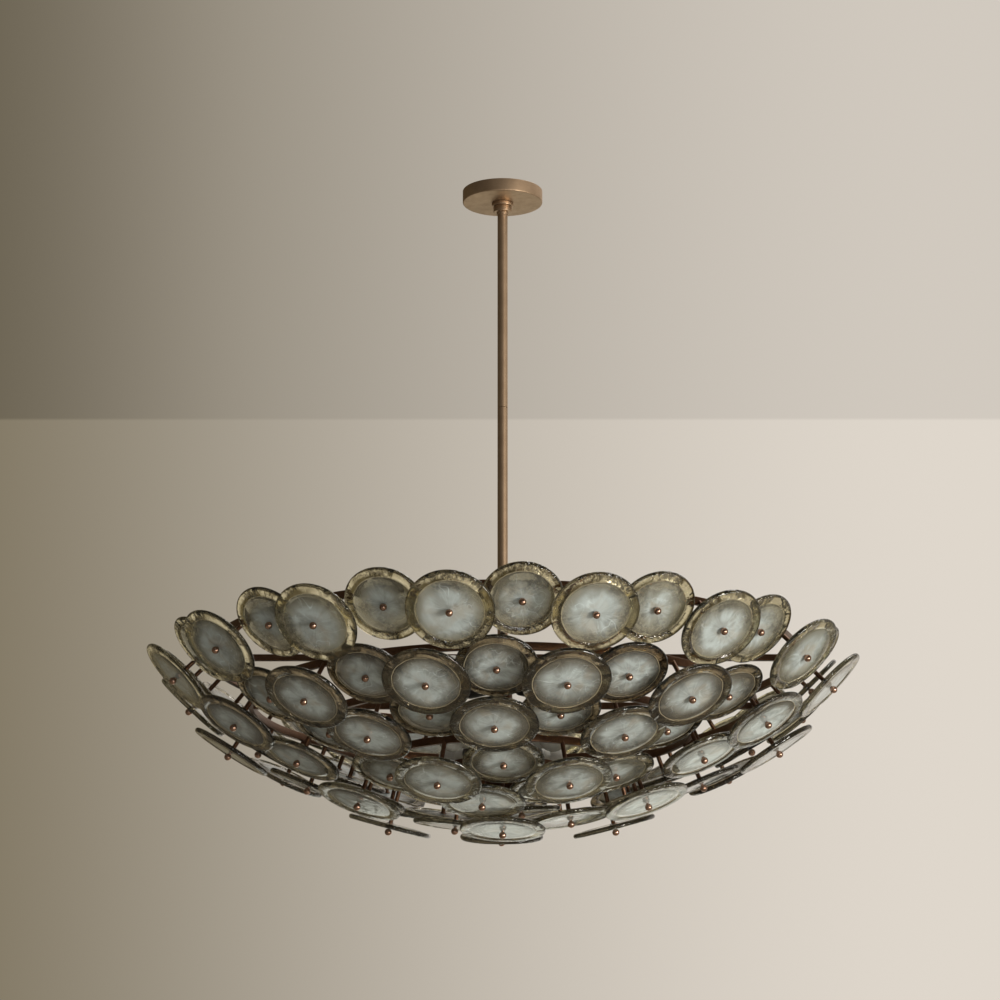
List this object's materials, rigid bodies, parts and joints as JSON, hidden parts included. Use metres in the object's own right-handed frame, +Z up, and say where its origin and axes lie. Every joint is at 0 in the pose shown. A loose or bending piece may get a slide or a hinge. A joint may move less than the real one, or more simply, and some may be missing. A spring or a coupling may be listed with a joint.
{
  "type": "chandelier",
  "caption": "Bowl-shaped chandelier of overlapping round glass discs on hoops and stems, hung on a rod from a round swivel canopy.",
  "frame": {"origin": "on the ceiling, in the middle of the top face of the ceiling strap", "axes": "+Z up, along the rod; +X along the ceiling strap; -Y towards the picture's camera"},
  "size_m": [1.0992, 1.1, 1.0524],
  "materials": {
    "aged_brass": "brushed, aged to a grey brown",
    "bronze": "dark coppery bronze, satin",
    "smoked_glass": "thick cast glass, smoked and clear at the rim, opal in the middle",
    "lamp_holder": "matt black",
    "opal_lamp": "opal white"
  },
  "bodies": {
    "ceiling_mount": {"ceiling_strap": "aged_brass", "swivel_socket": "aged_brass", "canopy": "aged_brass", "canopy_collar": "aged_brass"},
    "hanging_bowl": {"centre_column": "bronze", "centre_disc": "smoked_glass", "centre_stem": "bronze", "disc_row_1": "smoked_glass", "disc_row_2": "smoked_glass", "disc_row_3": "smoked_glass", "lower_cluster": "bronze", "lower_lamp_1": "opal_lamp", "lower_lamp_2": "opal_lamp", "lower_lamp_3": "opal_lamp", "lower_lamp_4": "opal_lamp", "lower_lamp_holder_1": "lamp_holder", "lower_lamp_holder_2": "lamp_holder", "lower_lamp_holder_3": "lamp_holder", "lower_lamp_holder_4": "lamp_holder", "lower_rod": "aged_brass", "rod_coupling": "aged_brass", "rod_sleeve": "aged_brass", "row_4_frame": "bronze", "row_4_inner_disc_1": "smoked_glass", "row_4_inner_disc_2": "smoked_glass", "row_4_inner_disc_3": "smoked_glass", "row_4_inner_disc_4": "smoked_glass", "row_4_inner_disc_5": "smoked_glass", "row_4_inner_disc_6": "smoked_glass", "row_4_inner_disc_7": "smoked_glass", "row_4_outer_disc_1": "smoked_glass", "row_4_outer_disc_2": "smoked_glass", "row_4_outer_disc_3": "smoked_glass", "row_4_outer_disc_4": "smoked_glass", "row_4_outer_disc_5": "smoked_glass", "row_4_outer_disc_6": "smoked_glass", "row_4_outer_disc_7": "smoked_glass", "row_5_frame": "bronze", "row_5_inner_disc_1": "smoked_glass", "row_5_inner_disc_2": "smoked_glass", "row_5_inner_disc_3": "smoked_glass", "row_5_outer_disc_1": "smoked_glass", "row_5_outer_disc_2": "smoked_glass", "row_5_outer_disc_3": "smoked_glass", "spider_1": "bronze", "spider_2": "bronze", "spider_3": "bronze", "spider_4": "bronze", "swivel_head": "aged_brass", "upper_cluster": "bronze", "upper_lamp_1": "opal_lamp", "upper_lamp_2": "opal_lamp", "upper_lamp_3": "opal_lamp", "upper_lamp_4": "opal_lamp", "upper_lamp_holder_1": "lamp_holder", "upper_lamp_holder_2": "lamp_holder", "upper_lamp_holder_3": "lamp_holder", "upper_lamp_holder_4": "lamp_holder", "upper_rod": "aged_brass"}
  },
  "joints": [
    {"name": "rod_swivel", "type": "hinge", "parent": "ceiling_mount", "child": "hanging_bowl", "pos_m": [0, 0, -0.0263], "axis": [0, 0, 1], "range_deg": [-170, 170]}
  ]
}
